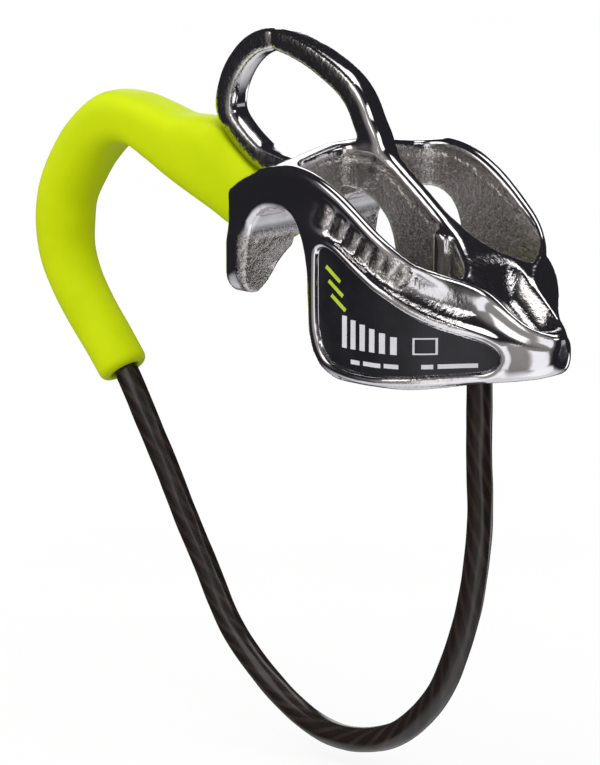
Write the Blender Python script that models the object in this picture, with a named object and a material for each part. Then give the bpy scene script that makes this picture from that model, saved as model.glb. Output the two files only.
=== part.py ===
"""Tube style belay device with a thumb eye and a sprung cable loop.

Metres, +Z up, nose toward +X, left side toward +Y. The origin is on the flat underside of the middle
web, between the two rope slots. Lengths below are millimetres measured from the foot of the carabiner
arch, and point() moves them to the origin.
"""

import math

import bmesh
import bpy
import numpy as np
from mathutils import Matrix, Vector

MM = 0.001
ORIGIN_X = 20.0
ORIGIN_Z = 1.2

GAP = 0.35
REAR_INNER = -5.7

ARCH_X = 1.6
WEB_ARCH_R = 9.3
WEB_ARCH_TOP = 24.9

CORE_R = 1.15
JACKET_IN = 1.45
JACKET_OUT = 1.8
BORE_R = 2.15
NOSE_BORE_X = 25.3
NOSE_BORE_TOP = 13.6
PIVOT_NOSE = (25.3, 0.0, -1.2)
REAR_Z = 18.0

LABEL_DEPTH = 0.8
LABEL_THICK = 0.4

EYE_HALF = 2.1
BAR_HALF = 2.9


def point(x, y, z):
    return ((x - ORIGIN_X) * MM, y * MM, (z - ORIGIN_Z) * MM)


def curve(x, pairs):
    """Height or half width at x, read from a short list of (x, value) pairs with rounded corners."""
    xs = [p[0] for p in pairs]
    ys = [p[1] for p in pairs]
    steps = [-1.0, -0.5, 0.0, 0.5, 1.0]
    return sum(float(np.interp(x + s, xs, ys)) for s in steps) / len(steps)


def spline(points, per_span, ring=False):
    """Catmull-Rom curve through the points."""
    pts = [np.array(p, float) for p in points]
    n = len(pts)
    out = []
    spans = n if ring else n - 1
    for i in range(spans):
        if ring:
            a, b, c, d = pts[(i - 1) % n], pts[i], pts[(i + 1) % n], pts[(i + 2) % n]
        else:
            a, b, c, d = pts[max(i - 1, 0)], pts[i], pts[i + 1], pts[min(i + 2, n - 1)]
        for k in range(per_span):
            t = k / per_span
            out.append(
                0.5
                * (
                    2 * b
                    + (c - a) * t
                    + (2 * a - 5 * b + 4 * c - d) * t * t
                    + (3 * b - 3 * c + d - a) * t**3
                )
            )
    if not ring:
        out.append(pts[-1])
    return out


def new_object(name, verts, faces):
    mesh = bpy.data.meshes.new(name)
    mesh.from_pydata([point(*v) for v in verts], [], faces)
    bm = bmesh.new()
    bm.from_mesh(mesh)
    bmesh.ops.triangulate(bm, faces=bm.faces)
    bmesh.ops.recalc_face_normals(bm, faces=bm.faces)
    bm.to_mesh(mesh)
    bm.free()
    obj = bpy.data.objects.new(name, mesh)
    bpy.context.scene.collection.objects.link(obj)
    return obj


def loft(name, rings, closed=False):
    """Skin through rings of equal length. An open run gets end caps."""
    n = len(rings[0])
    verts = [tuple(v) for ring in rings for v in ring]
    faces = []
    spans = len(rings) if closed else len(rings) - 1
    for i in range(spans):
        a = i * n
        b = ((i + 1) % len(rings)) * n
        for k in range(n):
            m = (k + 1) % n
            faces.append((a + k, a + m, b + m, b + k))
    if not closed:
        faces.append(tuple(range(n)))
        faces.append(tuple(range((len(rings) - 1) * n, len(rings) * n)))
    return new_object(name, verts, faces)


def prism_y(name, outline, lo, hi):
    """Outline of (x, z) points pushed along Y."""
    return loft(name, [[(x, y, z) for x, z in outline] for y in (lo, hi)])


def combine(target, other, operation):
    """Boolean with the exact solver, kept as plain mesh. The other object goes."""
    modifier = target.modifiers.new("cut", "BOOLEAN")
    modifier.operation = operation
    modifier.solver = "EXACT"
    modifier.object = other
    bpy.context.view_layer.update()
    graph = bpy.context.evaluated_depsgraph_get()
    mesh = bpy.data.meshes.new_from_object(target.evaluated_get(graph))
    target.modifiers.clear()
    bm = bmesh.new()
    bm.from_mesh(mesh)
    bmesh.ops.remove_doubles(bm, verts=bm.verts, dist=0.004 * MM)
    bmesh.ops.dissolve_degenerate(bm, dist=0.002 * MM, edges=bm.edges)
    bm.to_mesh(mesh)
    bm.free()
    target.data = mesh
    bpy.data.objects.remove(other)


def tube_rings(path, radius, sides):
    """Circles along a path in the XZ plane."""
    rings = []
    for i, p in enumerate(path):
        a = path[max(i - 1, 0)]
        b = path[min(i + 1, len(path) - 1)]
        t = np.array(b, float) - np.array(a, float)
        t /= np.linalg.norm(t)
        up = np.array([-t[2], 0.0, t[0]])
        r = radius[i] if isinstance(radius, list) else radius
        ring = []
        for k in range(sides):
            w = 2 * math.pi * (k + 0.5) / sides
            ring.append(np.array(p) + r * (math.cos(w) * up + math.sin(w) * np.array([0, 1.0, 0])))
        rings.append(ring)
    return rings


def pipe(name, path, outer, inner, sides):
    """Tube with a bore right through, as one closed skin."""
    out_rings = tube_rings(path, outer, sides)
    in_rings = tube_rings(path, inner, sides)
    return loft(name, out_rings + in_rings[::-1], closed=True)


# ------------------------------------------------------------------ body

UNDERSIDE = [(-10, 1.2), (26, 1.2), (30, 1.7), (34, 2.1), (36.2, 2.4), (38.7, 2.9), (39.8, 3.6)]
RIM_Y = [
    (-10, 13.2), (-6, 14.2), (-1, 15.9), (5, 17.1), (10, 17.2), (16, 17.0), (20, 16.6), (22.4, 15.9),
    (24.3, 14.8), (26, 13.3), (27.5, 11.6), (29, 9.2), (30.2, 6.4), (31.5, 5.4), (34, 4.7),
    (36, 4.1), (37.5, 3.3), (38.6, 2.5), (39.3, 1.8), (39.9, 1.0),
]
RIM_Z = [
    (-10, 24.2), (-6.5, 26.4), (-1, 28.6), (5, 29.8), (8, 29.4), (11, 28.4), (13.7, 27.0), (16, 25.5),
    (18.2, 23.8), (20.3, 22.1), (22.4, 20.6), (24.3, 19.1), (26, 17.9), (27.5, 16.9), (29, 15.9),
    (31, 14.0), (34, 11.6), (36.6, 9.9), (38.5, 9.1), (40, 8.6),
]
SIDE_Y = [
    (-10, 13.6), (-1, 16.2), (6, 17.4), (10, 17.6), (18, 17.7), (22, 17.2), (25, 16.0), (27.5, 13.9),
    (29.5, 11.4), (31.5, 8.9), (33.5, 7.1), (36, 5.4), (37.5, 4.4), (38.6, 3.4), (39.4, 2.4), (39.9, 1.4),
]
MIDDLE_Z = [
    (-10, 25.0), (-4, 28.6), (0, 30.6), (5, 31.0), (8, 30.6), (12, 27.5), (14, 26.0), (16, 24.5),
    (18, 22.9), (20, 21.5), (22, 20.2), (24, 18.8), (26, 17.6), (28, 16.5), (31, 14.2), (34, 11.6),
    (36.6, 9.9), (40, 8.6),
]
SHOULDER_Z = [
    (-10, 17.0), (6, 21.8), (9, 21.8), (12, 21.2), (15, 19.2), (19, 17.0), (24, 14.1), (27, 12.0),
    (29.6, 10.1), (32.2, 8.8), (35, 7.8), (40, 6.5),
]
LOW_EDGE = [(-10, 1.4), (26, 1.6), (33, 1.7), (40, 1.6)]
STATIONS = [
    -9.8, -9.2, -7, -4, -1, 2, 5, 8, 10, 12, 14, 16, 18, 20, 22, 23.5, 25, 26.3, 27.5, 28.6, 29.6,
    30.6, 31.8, 33.5, 35.5, 37.2, 38.4, 39.2, 39.7,
]


def hull():
    """Outside of the casting before anything is cut from it."""
    rings = []
    for x in STATIONS:
        inset = {STATIONS[0]: 0.7, STATIONS[-2]: 0.15, STATIONS[-1]: 0.7}.get(x, 0.0)
        side = curve(x, SIDE_Y) - inset
        rim = curve(x, RIM_Y) - inset
        top = curve(x, RIM_Z) - inset
        middle = curve(x, MIDDLE_Z) - inset
        shoulder = curve(x, SHOULDER_Z)
        low = curve(x, UNDERSIDE) + inset
        edge = min(curve(x, LOW_EDGE), 0.5 * side)
        pinch = 0.4 + 1.6 * max(0.0, min(1.0, (x - 9) / 6))
        pinch *= max(0.0, min(1.0, (32 - x) / 5))
        waist = 0.25 * side + 0.5 * (min(side, rim) - pinch) + 0.25 * rim
        waist_z = 0.6 * shoulder + 0.4 * (top - 1.0)
        half = [
            (side - edge, low),
            (side, low + edge),
            (side, shoulder),
            (waist, waist_z),
            (rim, top - 1.0),
            (rim - min(0.7, 0.2 * rim), top),
            (rim - min(1.9, 0.35 * rim), top - 0.1),
            (min(3.4, 0.4 * rim), middle),
        ]
        ring = [(x, y, z) for y, z in half] + [(x, -y, z) for y, z in reversed(half)]
        rings.append(ring)
    return loft("body", rings)


EYE = [
    (-21.6, 33.6), (-21.0, 36.4), (-19.5, 39.2), (-17.0, 41.8), (-14.0, 43.3), (-10.8, 43.6), (-6.5, 42.5),
    (-2.1, 40.6), (1.6, 38.4), (3.7, 36.1), (5.0, 33.6), (6.6, 30.6), (6.4, 28.0), (2.0, 27.0),
    (-6.0, 25.2), (-13.6, 26.2), (-16.6, 27.6), (-19.6, 29.9), (-21.2, 31.8),
]


def eye_ring():
    """The thumb eye: a rounded band on a closed path in the middle plane."""
    centre = spline([(x, 0, z) for x, z in EYE], 2, ring=True)
    n = len(centre)
    rings = []
    for i, p in enumerate(centre):
        t = centre[(i + 1) % n] - centre[(i - 1) % n]
        t /= np.linalg.norm(t)
        out = np.array([-t[2], 0.0, t[0]])
        half = 1.7 + 0.15 * max(0.0, min(1.0, (p[0] + 6) / 10))
        ring = []
        for k in range(12):
            w = 2 * math.pi * (k + 0.5) / 12
            c, s = math.cos(w), math.sin(w)
            c = math.copysign(abs(c) ** 0.5, c)
            s = math.copysign(abs(s) ** 0.5, s)
            ring.append(p + half * c * out + EYE_HALF * s * np.array([0, 1.0, 0]))
        rings.append(ring)
    return loft("eye", rings, closed=True)


SLOT = [
    (3.8, 3.0), (8, 1.75), (12, 1.45), (18, 1.45), (20, 1.8), (22, 2.1), (23.4, 2.7), (24.7, 3.5),
    (25.9, 4.5), (27.0, 5.8), (27.8, 7.1), (27.6, 8.3), (26.9, 9.8), (25.9, 11.4), (24.6, 13.0),
    (22.7, 13.9), (20.0, 14.5), (16, 14.8), (10, 14.8), (5.9, 14.3), (3.6, 12.5), (2.8, 8.5), (2.8, 5.4),
]


def slot_cutter(side):
    """Teardrop rope slot, straight from top to underside."""
    return loft("slot", [[(x, side * y, z) for x, y in SLOT] for z in (-3.0, 45.0)])


ARCH = [
    (-6.1, -4.0), (-6.1, 8.0), (-6.0, 12.0), (-5.8, 14.7), (-5.4, 17.6), (-4.4, 19.9), (-3.0, 21.3),
    (-1.6, 22.1), (0.2, 22.7), (2.2, 22.9), (4.2, 22.8), (5.8, 22.2), (7.1, 21.2), (8.0, 19.8),
    (8.6, 18.0), (9.0, 16.0), (9.3, 11.9), (9.5, 7.7), (10.2, 5.1), (11.6, 3.1), (13.8, 1.7),
    (16.0, 0.9), (18.0, -4.0),
]


def web_arch_outline():
    """Inverted U through the middle web, open below."""
    points = []
    steps = 14
    centre = WEB_ARCH_TOP - WEB_ARCH_R
    for i in range(steps + 1):
        w = math.pi * (1 - i / steps)
        points.append((ARCH_X + WEB_ARCH_R * math.cos(w), centre + WEB_ARCH_R * math.sin(w)))
    foot = ARCH_X + WEB_ARCH_R + 0.6
    points += [(foot, 6.5), (foot + 1.1, 3.2), (foot + 3.6, 1.0), (foot + 4.4, -4.0)]
    return points


def tongue_cutter():
    """Takes the rear wall away below its two tongues."""
    half = [
        (0.0, 16.9), (1.2, 16.8), (2.4, 16.4), (3.4, 15.4), (4.6, 13.8), (6.0, 12.2), (7.6, 10.9),
        (9.4, 10.0), (11.0, 9.6), (12.2, 9.9), (13.2, 10.9), (14.0, 12.6), (14.4, 14.4), (22.0, 15.0),
    ]
    outline = [(-y, z) for y, z in reversed(half[1:])] + half + [(22.0, -4.0), (-22.0, -4.0)]
    return loft("tongues", [[(x, y, z) for y, z in outline] for x in (-14.0, REAR_INNER)])


LABEL_LOW = [
    (11.1, 10.0), (11.4, 7.6), (12.2, 5.5), (13.5, 4.1), (16.2, 3.3), (20.5, 3.0), (24.7, 3.2),
    (28.7, 3.4), (32.2, 3.6), (33.5, 4.1), (34.2, 5.3),
]
LABEL_HIGH = [
    (11.1, 18.2), (11.6, 19.2), (12.5, 19.6), (14.4, 19.0), (15.8, 18.2), (18.3, 16.6), (20.6, 15.0),
    (23.1, 13.5), (26.8, 11.0), (30.3, 9.0), (32.4, 7.9), (33.7, 6.9), (34.2, 6.0),
]


def label_solid(name, side, inset, low, high):
    """The label, bent round the wall, between two depths measured across the width."""
    rings = []
    first = LABEL_LOW[0][0] + inset
    last = LABEL_LOW[-1][0] - 2 * inset
    count = 16
    for i in range(count + 1):
        x = first + (last - first) * (0.5 - 0.5 * math.cos(math.pi * i / count))
        near = (x - inset, x, x + inset)
        z0 = max(float(np.interp(v, [p[0] for p in LABEL_LOW], [p[1] for p in LABEL_LOW])) for v in near)
        z1 = min(float(np.interp(v, [p[0] for p in LABEL_HIGH], [p[1] for p in LABEL_HIGH])) for v in near)
        z0 += inset
        z1 -= inset
        wall = curve(x, SIDE_Y)
        section = ((low, z0), (low, z1), (high, z1), (high, z0))
        rings.append([(x, side * (wall + d), z) for d, z in section])
    return loft(name, rings)


def dish_cutter():
    """Spoon shaped hollow on top of the nose."""
    tilt = math.radians(-34.0)
    rings = []
    for i in range(1, 9):
        lat = math.pi * i / 9
        ring = []
        for k in range(14):
            w = 2 * math.pi * k / 14
            u = 6.0 * math.sin(lat) * math.cos(w)
            v = 4.0 * math.sin(lat) * math.sin(w)
            h = -4.2 * math.cos(lat)
            along = u * math.cos(tilt) - h * math.sin(tilt)
            up = u * math.sin(tilt) + h * math.cos(tilt)
            ring.append((32.7 + along, v, 15.2 + up))
        rings.append(ring)
    return loft("dish", rings)


def build_body():
    body = hull()
    for side in (1, -1):
        combine(body, slot_cutter(side), "DIFFERENCE")
    combine(body, eye_ring(), "UNION")
    bar = prism_y("bar", [(18.9, 4.0), (18.9, 20.6), (21.3, 19.8), (21.3, 4.0)], -BAR_HALF, BAR_HALF)
    combine(body, bar, "UNION")
    combine(body, prism_y("arch", ARCH, -30.0, 30.0), "DIFFERENCE")
    combine(body, prism_y("web_arch", web_arch_outline(), -3.4, 3.4), "DIFFERENCE")
    combine(body, tongue_cutter(), "DIFFERENCE")
    combine(body, dish_cutter(), "DIFFERENCE")
    for side in (1, -1):
        combine(body, label_solid("recess", side, 0.0, -LABEL_DEPTH, 2.0), "DIFFERENCE")
    bore = [(NOSE_BORE_X, 0, -3.0), (NOSE_BORE_X, 0, NOSE_BORE_TOP)]
    combine(body, loft("bore", tube_rings(bore, BORE_R, 16)), "DIFFERENCE")
    rear = [(-13.0, 0, REAR_Z), (-3.0, 0, REAR_Z)]
    combine(body, loft("rear_bore", tube_rings(rear, BORE_R, 16)), "DIFFERENCE")
    return body


# ------------------------------------------------------------------ cable and sleeve

CABLE = [
    (25.3, -1.6), (25.4, -9.5), (25.5, -22.3), (23.3, -34.2), (18.7, -45.4), (11.2, -53.2), (1.6, -56.3),
    (-8.2, -54.5), (-20.3, -46.1), (-28.4, -33.9), (-36.6, -20.1), (-43.4, -9.3), (-50.6, -0.7),
    (-55.2, 7.4), (-55.4, 16.4), (-50.4, 24.6), (-43.4, 28.3), (-35.2, 27.2), (-27.2, 24.0),
    (-19.4, 20.3), (-14.6, 18.7), (-10.6, 18.0),
]
# Centre x and z, direction of the outer side in degrees, half height, half width, roundness.
SLEEVE = [
    (-44.5, -8.1, 218, 3.8, 3.7, 1.0), (-47.3, -4.8, 218, 3.85, 3.7, 1.0), (-50.9, -0.8, 216, 4.0, 3.7, 1.0),
    (-53.9, 3.3, 210, 4.2, 3.8, 1.0), (-55.8, 7.5, 197, 4.6, 3.9, 1.0), (-56.2, 12.1, 181, 4.8, 4.0, 0.95),
    (-55.5, 16.5, 165, 4.8, 4.0, 0.95), (-53.2, 20.8, 148, 4.7, 4.1, 0.9), (-49.9, 25.0, 128, 4.5, 4.2, 0.85),
    (-45.2, 28.6, 104, 4.2, 4.4, 0.7), (-40.4, 29.2, 93, 3.8, 4.5, 0.6), (-36.0, 28.0, 90, 4.1, 4.6, 0.6),
    (-31.0, 26.2, 90, 4.8, 4.6, 0.6), (-26.5, 25.0, 90, 5.7, 4.5, 0.6), (-22.5, 23.6, 90, 6.1, 4.5, 0.65),
    (-19.3, 21.5, 90, 5.3, 4.4, 0.65), (-15.5, 19.9, 90, 4.5, 4.3, 0.7), (-10.4, 18.9, 90, 3.8, 4.0, 0.75),
]
SLEEVE_BORE_FROM = 12


def cable_path():
    return spline([(x, 0, z) for x, z in CABLE], 2)


def build_cable():
    path = cable_path()
    loft("wire_rope", tube_rings(path, CORE_R, 8))
    nose = np.array(PIVOT_NOSE)
    ball = []
    radii = []
    for step in (80, 55, 30):
        w = math.radians(step)
        ball.append(nose + np.array([0, 0, JACKET_OUT * math.sin(w)]))
        radii.append(JACKET_OUT * math.cos(w))
    outer_path = ball[1:] + [np.array((25.3, 0, -1.4))] + path[1:]
    outer_radius = radii[1:] + [JACKET_OUT] * (len(outer_path) - 2)
    outer = tube_rings(outer_path, outer_radius, 12)
    inner_path = [np.array((25.3, 0, -0.9))] + path[1:]
    inner = tube_rings(inner_path, JACKET_IN, 12)
    # The jacket is closed over the end of the wire at the nose and open at the rear.
    verts = [tuple(v) for ring in outer + inner[::-1] for v in ring]
    n = 12
    rings = len(outer) + len(inner)
    faces = []
    for i in range(rings - 1):
        for k in range(n):
            m = (k + 1) % n
            faces.append((i * n + k, i * n + m, (i + 1) * n + m, (i + 1) * n + k))
    faces.append(tuple(range(n)))
    faces.append(tuple(range((rings - 1) * n, rings * n)))
    new_object("cable_jacket", verts, faces)


def build_sleeve():
    sides = 16
    stations = spline(SLEEVE, 2)
    outer = []
    for i, (x, z, turn, tall, wide, round_by) in enumerate(stations):
        if i in (0, len(stations) - 1):
            tall -= 0.5
            wide -= 0.5
        w = math.radians(turn)
        out = np.array([math.cos(w), 0.0, math.sin(w)])
        ring = []
        for k in range(sides):
            v = 2 * math.pi * (k + 0.5) / sides
            c, s = math.cos(v), math.sin(v)
            c = math.copysign(abs(c) ** round_by, c)
            s = math.copysign(abs(s) ** round_by, s)
            ring.append(np.array([x, 0.0, z]) + tall * c * out + wide * s * np.array([0, 1.0, 0]))
        outer.append(ring)
    bore = [SLEEVE[0][:2]] + CABLE[SLEEVE_BORE_FROM:-1] + [(-10.4, 18.0)]
    path = spline([(x, 0, z) for x, z in bore], 3)
    inner = tube_rings(path, BORE_R, sides)
    return loft("sleeve", outer + inner[::-1], closed=True)


def build_ends():
    nose_x = NOSE_BORE_X
    stub = [(nose_x, 0, 1.1), (nose_x, 0, 4.0)]
    pipe("jacket_nose_end", stub, JACKET_OUT, JACKET_IN, 12)
    loft("wire_nose_end", tube_rings([(nose_x, 0, 1.1), (nose_x, 0, 12.4)], CORE_R, 8))
    pipe("nose_ferrule", [(nose_x, 0, 4.4), (nose_x, 0, 13.0)], JACKET_OUT, JACKET_IN, 12)
    profile = [(-9.8, 1.4), (-9.4, 1.8), (-5.75, 1.8), (-5.75, 2.9), (-5.3, 2.8), (-4.95, 1.6)]
    rings = []
    for x, r in profile:
        ring = []
        for k in range(14):
            w = 2 * math.pi * (k + 0.5) / 14
            ring.append((x, r * math.cos(w), REAR_Z + r * math.sin(w)))
        rings.append(ring)
    loft("rear_ferrule", rings)


def paint(name, colour, metallic, roughness):
    material = bpy.data.materials.new(name)
    material.use_nodes = True
    shader = material.node_tree.nodes["Principled BSDF"]
    shader.inputs["Base Color"].default_value = (*colour, 1.0)
    shader.inputs["Metallic"].default_value = metallic
    shader.inputs["Roughness"].default_value = roughness
    obj = bpy.data.objects[name]
    obj.data.materials.clear()
    obj.data.materials.append(material)
    if name in ("sleeve", "cable_jacket", "wire_rope", "wire_nose_end", "jacket_nose_end", "nose_ferrule"):
        for polygon in obj.data.polygons:
            polygon.use_smooth = True


def set_origin(name, at):
    """Moves an object's origin without moving its shape: the swinging parts have theirs on the joint axis."""
    obj = bpy.data.objects[name]
    place = Vector(point(*at))
    obj.data.transform(Matrix.Translation(-place))
    obj.location = place


def main():
    for obj in list(bpy.data.objects):
        bpy.data.objects.remove(obj)
    build_body()
    back = -LABEL_DEPTH + GAP
    for name, side in (("label_left", 1), ("label_right", -1)):
        label_solid(name, side, GAP, back, back + LABEL_THICK)
    build_cable()
    build_sleeve()
    build_ends()
    paint("body", (0.62, 0.61, 0.60), 1.0, 0.12)
    paint("label_left", (0.012, 0.013, 0.018), 0.0, 0.55)
    paint("label_right", (0.012, 0.013, 0.018), 0.0, 0.55)
    paint("sleeve", (0.55, 0.78, 0.01), 0.0, 0.42)
    paint("cable_jacket", (0.03, 0.02, 0.015), 0.0, 0.2)
    paint("wire_rope", (0.3, 0.27, 0.25), 1.0, 0.35)
    paint("wire_nose_end", (0.3, 0.27, 0.25), 1.0, 0.35)
    paint("jacket_nose_end", (0.03, 0.02, 0.015), 0.0, 0.2)
    paint("nose_ferrule", (0.5, 0.5, 0.5), 1.0, 0.35)
    paint("rear_ferrule", (0.5, 0.5, 0.5), 1.0, 0.35)
    for name in ("sleeve", "cable_jacket", "wire_rope"):
        set_origin(name, PIVOT_NOSE)


main()
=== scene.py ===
"""Belay device with thumb eye and sprung cable loop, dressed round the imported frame."""

import math

import bpy
import bmesh
import numpy as np
from mathutils import Matrix, Vector


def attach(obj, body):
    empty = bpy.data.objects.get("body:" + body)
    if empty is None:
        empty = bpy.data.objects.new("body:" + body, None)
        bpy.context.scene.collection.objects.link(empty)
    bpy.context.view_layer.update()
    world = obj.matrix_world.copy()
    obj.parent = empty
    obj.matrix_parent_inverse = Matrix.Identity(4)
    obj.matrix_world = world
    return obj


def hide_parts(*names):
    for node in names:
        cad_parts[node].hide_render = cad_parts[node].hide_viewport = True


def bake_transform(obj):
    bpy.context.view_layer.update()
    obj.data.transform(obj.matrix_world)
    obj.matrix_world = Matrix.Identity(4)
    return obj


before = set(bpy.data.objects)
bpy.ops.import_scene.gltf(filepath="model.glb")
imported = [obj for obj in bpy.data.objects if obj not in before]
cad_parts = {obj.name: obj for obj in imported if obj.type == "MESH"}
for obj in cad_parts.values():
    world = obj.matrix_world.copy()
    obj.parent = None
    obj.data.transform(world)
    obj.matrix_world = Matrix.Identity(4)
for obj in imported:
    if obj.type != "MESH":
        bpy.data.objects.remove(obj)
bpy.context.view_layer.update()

MM = 0.001
# Lengths are millimetres from the foot of the carabiner arch; to_row() moves them to the row frame.
SHIFT = np.array([20.0, 0.0, 1.2])
STEP = 0.38


def to_row(points):
    return (np.asarray(points, float) - SHIFT) * MM


# ------------------------------------------------------------------ curves and fields


def lookup(x, pairs, soft=1.0):
    """Value at x from a short list of (x, value) pairs, with the corners rounded over soft."""
    xs = [p[0] for p in pairs]
    ys = [p[1] for p in pairs]
    steps = (-1.0, -0.5, 0.0, 0.5, 1.0)
    return sum(np.interp(x + s * soft, xs, ys) for s in steps) / len(steps)


def ramp(value, lo, hi):
    """0 below lo, 1 above hi, smooth between. lo may be above hi."""
    t = np.clip((value - lo) / (hi - lo), 0.0, 1.0)
    return t * t * (3 - 2 * t)


def spline(points, per_span, ring=False):
    """Catmull-Rom curve through the points."""
    pts = [np.array(p, float) for p in points]
    n = len(pts)
    out = []
    for i in range(n if ring else n - 1):
        if ring:
            a, b, c, d = pts[(i - 1) % n], pts[i], pts[(i + 1) % n], pts[(i + 2) % n]
        else:
            a, b, c, d = pts[max(i - 1, 0)], pts[i], pts[i + 1], pts[min(i + 2, n - 1)]
        for k in range(per_span):
            t = k / per_span
            out.append(
                0.5
                * (
                    2 * b
                    + (c - a) * t
                    + (2 * a - 5 * b + 4 * c - d) * t * t
                    + (3 * b - 3 * c + d - a) * t**3
                )
            )
    if not ring:
        out.append(pts[-1])
    return out


def outline_distance(px, py, corners):
    """Signed distance to a closed outline, negative inside. The corners may be arrays."""
    best = None
    inside = None
    n = len(corners)
    for i in range(n):
        ax, ay = corners[i]
        bx, by = corners[(i + 1) % n]
        ex, ey = bx - ax, by - ay
        wx, wy = px - ax, py - ay
        t = np.clip((wx * ex + wy * ey) / (ex * ex + ey * ey + 1e-9), 0.0, 1.0)
        dist = (wx - ex * t) ** 2 + (wy - ey * t) ** 2
        best = dist if best is None else np.minimum(best, dist)
        slope = ex / np.where(np.abs(ey) < 1e-9, 1e-9, ey)
        flip = ((ay > py) != (by > py)) & (px < slope * (py - ay) + ax)
        inside = flip if inside is None else inside ^ flip
    return np.where(inside, -1.0, 1.0) * np.sqrt(best)


def soft_min(a, b, k):
    h = np.clip(0.5 + 0.5 * (b - a) / k, 0.0, 1.0)
    return b + (a - b) * h - k * h * (1 - h)


def soft_max(a, b, k):
    return -soft_min(-a, -b, k)


def value_noise(shape, cell, seed):
    """Smooth random field between -1 and 1 whose features are about cell grid steps wide."""
    rng = np.random.default_rng(seed)
    coarse = rng.uniform(-1, 1, [int(s / cell) + 3 for s in shape]).astype(np.float32)
    out = coarse
    for axis, size in enumerate(shape):
        at = np.arange(size) / cell
        low = at.astype(int)
        t = at - low
        t = (t * t * (3 - 2 * t)).astype(np.float32)
        view = [1, 1, 1]
        view[axis] = size
        t = t.reshape(view)
        out = np.take(out, low, axis) * (1 - t) + np.take(out, low + 1, axis) * t
    return out


# ------------------------------------------------------------------ body shape

UNDERSIDE = [(-10, 1.2), (26, 1.2), (30, 1.7), (34, 2.1), (36.2, 2.4), (38.7, 2.9), (39.8, 3.6)]
RIM_Y = [
    (-10, 13.2), (-6, 14.2), (-1, 15.9), (5, 17.1), (10, 17.2), (16, 17.0), (20, 16.6), (22.4, 15.9),
    (24.3, 14.8), (26, 13.3), (27.5, 11.6), (29, 9.2), (30.2, 6.4), (31.5, 5.4), (34, 4.7),
    (36, 4.1), (37.5, 3.3), (38.6, 2.5), (39.3, 1.8), (39.9, 1.0),
]
RIM_Z = [
    (-10, 24.2), (-6.5, 26.4), (-1, 28.6), (5, 29.8), (8, 29.4), (11, 28.4), (13.7, 27.0), (16, 25.5),
    (18.2, 23.8), (20.3, 22.1), (22.4, 20.6), (24.3, 19.1), (26, 17.9), (27.5, 16.9), (29, 15.9),
    (31, 14.0), (34, 11.6), (36.6, 9.9), (38.5, 9.1), (40, 8.6),
]
SIDE_Y = [
    (-10, 13.6), (-1, 16.2), (6, 17.4), (10, 17.6), (18, 17.7), (22, 17.2), (25, 16.0), (27.5, 13.9),
    (29.5, 11.4), (31.5, 8.9), (33.5, 7.1), (36, 5.4), (37.5, 4.4), (38.6, 3.4), (39.4, 2.4), (39.9, 1.4),
]
MIDDLE_Z = [
    (-10, 25.0), (-4, 28.6), (0, 30.6), (5, 31.0), (8, 30.6), (12, 27.5), (14, 26.0), (16, 24.5), (18, 22.9),
    (20, 21.5), (22, 20.2), (24, 18.8), (26, 17.6), (28, 16.5), (31, 14.2), (34, 11.6), (36.6, 9.9),
    (40, 8.6),
]
SHOULDER_Z = [
    (-10, 17.0), (6, 21.8), (9, 21.8), (12, 21.2), (15, 19.2), (19, 17.0), (24, 14.1), (27, 12.0),
    (29.6, 10.1), (32.2, 8.8), (35, 7.8), (40, 6.5),
]
LOW_EDGE = [(-10, 1.4), (26, 1.6), (33, 1.7), (40, 1.6)]
REAR_END = -9.8
NOSE_END = 39.9
SLOT = [
    (3.4, 2.6), (8, 1.3), (12, 1.05), (18, 1.05), (20, 1.4), (22, 1.7), (23.4, 2.3), (24.8, 3.2),
    (26.2, 4.3), (27.4, 5.6), (28.2, 7.0), (28.0, 8.4), (27.3, 10.0), (26.2, 11.8), (24.8, 13.4),
    (22.8, 14.3), (20.0, 14.9), (16, 15.2), (10, 15.2), (5.6, 14.7), (3.2, 12.8), (2.4, 8.5), (2.4, 5.0),
]
ARCH = [
    (-6.1, -9.0), (-6.1, 8.0), (-6.0, 12.0), (-5.8, 14.7), (-5.4, 17.6), (-4.4, 19.9), (-3.0, 21.3),
    (-1.6, 22.1), (0.2, 22.7), (2.2, 22.9), (4.2, 22.8), (5.8, 22.2), (7.1, 21.2), (8.0, 19.8),
    (8.6, 18.0), (9.0, 16.0), (9.3, 11.9), (9.5, 7.7), (10.2, 5.1), (11.6, 3.1), (13.8, 1.7),
    (16.0, 0.9), (18.0, -9.0),
]
ARCH_X = 1.6
WEB_ARCH_R = 9.3
WEB_ARCH_TOP = 24.9
TONGUE = [
    (-9.0, 16.9), (0.0, 16.9), (1.2, 16.8), (2.4, 16.4), (3.4, 15.4), (4.6, 13.8), (6.0, 12.2),
    (7.6, 10.9), (9.4, 10.0), (11.0, 9.6), (12.2, 9.9), (13.2, 10.9), (14.0, 12.6), (14.4, 14.4),
    (22.0, 15.0), (22.0, -9.0), (-9.0, -9.0),
]
REAR_INNER = -5.7
EYE = [
    (-21.6, 33.6), (-21.0, 36.4), (-19.5, 39.2), (-17.0, 41.8), (-14.0, 43.3), (-10.8, 43.6), (-6.5, 42.5),
    (-2.1, 40.6), (1.6, 38.4), (3.7, 36.1), (5.0, 33.6), (6.6, 30.6), (6.4, 28.0), (2.0, 27.0),
    (-6.0, 25.2), (-13.6, 26.2), (-16.6, 27.6), (-19.6, 29.9), (-21.2, 31.8),
]
EYE_HALF = 2.1
LABEL_LOW = [
    (11.1, 10.0), (11.4, 7.6), (12.2, 5.5), (13.5, 4.1), (16.2, 3.3), (20.5, 3.0), (24.7, 3.2),
    (28.7, 3.4), (32.2, 3.6), (33.5, 4.1), (34.2, 5.3),
]
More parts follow.
